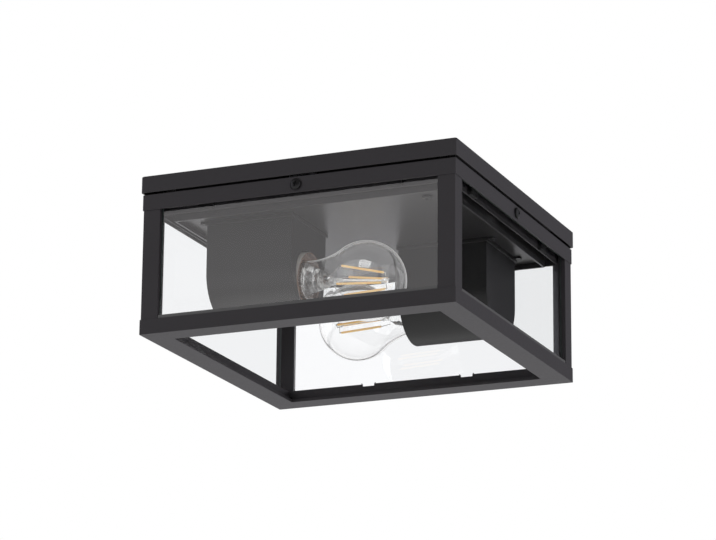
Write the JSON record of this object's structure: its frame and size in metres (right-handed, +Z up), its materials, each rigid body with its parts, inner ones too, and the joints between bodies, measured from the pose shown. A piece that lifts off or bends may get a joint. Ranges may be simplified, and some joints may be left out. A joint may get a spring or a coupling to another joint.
{
  "type": "porch ceiling lantern",
  "caption": "Square flush-mounted porch lantern: black sheet-metal frame with clear panes, open underside and lamps lying flat in moulded covers under a lamp plate.",
  "frame": {"origin": "centre of the ceiling pan's top face, which lies against the ceiling", "axes": "+Z up into the ceiling, the lantern hangs below it; +X along the two lamps, +Y away from the front pane"},
  "size_m": [0.2548, 0.2548, 0.122],
  "materials": {
    "black_metal": "matt black powder coat with a fine texture",
    "plate_metal": "satin black paint",
    "black_screw": "black zinc, satin",
    "zinc_steel": "bright zinc plate",
    "bush_rubber": "moulded black rubber",
    "earth_brass": "plain brass",
    "terminal_plastic": "moulded off-white",
    "lead_sleeve": "silicone sleeve, satin",
    "pane_glass": "clear float glass, ground edges",
    "pad_rubber": "black silicone",
    "seal_rubber": "dark grey foam rubber",
    "cover_plastic": "moulded black, fine matt grain",
    "holder_ceramic": "cream glaze",
    "shell_brass": "drawn copper-coloured brass",
    "bulb_glass": "clear blown glass",
    "bulb_cap_metal": "drawn, satin",
    "bulb_stem_glass": "clear pinched glass",
    "filament_phosphor": "amber phosphor coat"
  },
  "bodies": {
    "lantern": {"ceiling_pan": "black_metal", "cable_bush": "bush_rubber", "hanger_tabs": "zinc_steel", "plate_pillars": "zinc_steel", "earth_stud": "earth_brass", "lamp_plate": "plate_metal", "terminal_block": "terminal_plastic", "lead_bushes": "bush_rubber", "lamp_leads": "lead_sleeve", "plate_screws": "black_screw", "top_rail_front": "black_metal", "top_rail_right": "black_metal", "top_rail_back": "black_metal", "top_rail_left": "black_metal", "bottom_rail_front": "black_metal", "bottom_rail_right": "black_metal", "bottom_rail_back": "black_metal", "bottom_rail_left": "black_metal", "glass_stop_front": "black_metal", "glass_stop_right": "black_metal", "glass_stop_back": "black_metal", "glass_stop_left": "black_metal", "post_front_right": "black_metal", "post_back_right": "black_metal", "post_back_left": "black_metal", "post_front_left": "black_metal", "pane_front": "pane_glass", "pane_right": "pane_glass", "pane_back": "pane_glass", "pane_left": "pane_glass", "pane_pads": "pad_rubber", "pane_seals": "seal_rubber", "side_screws": "black_screw", "front_cover": "cover_plastic", "rear_cover": "cover_plastic", "cover_screws": "zinc_steel", "front_bracket": "zinc_steel", "rear_bracket": "zinc_steel", "bracket_screws": "zinc_steel", "holder_screws": "zinc_steel", "front_holder": "holder_ceramic", "rear_holder": "holder_ceramic", "front_shell": "shell_brass", "rear_shell": "shell_brass", "front_contact": "shell_brass", "rear_contact": "shell_brass"},
    "front_bulb": {"front_bulb_glass": "bulb_glass", "front_bulb_cap": "bulb_cap_metal", "front_bulb_stem": "bulb_stem_glass", "front_bulb_filaments": "filament_phosphor"},
    "rear_bulb": {"rear_bulb_glass": "bulb_glass", "rear_bulb_cap": "bulb_cap_metal", "rear_bulb_stem": "bulb_stem_glass", "rear_bulb_filaments": "filament_phosphor"}
  },
  "joints": [
    {"name": "front_bulb_unscrew", "type": "slide", "parent": "lantern", "child": "front_bulb", "axis": [0.994, 0, -0.1097], "range_m": [0, 0.03]},
    {"name": "rear_bulb_unscrew", "type": "slide", "parent": "lantern", "child": "rear_bulb", "axis": [-0.9989, 0, -0.0471], "range_m": [0, 0.03]}
  ]
}
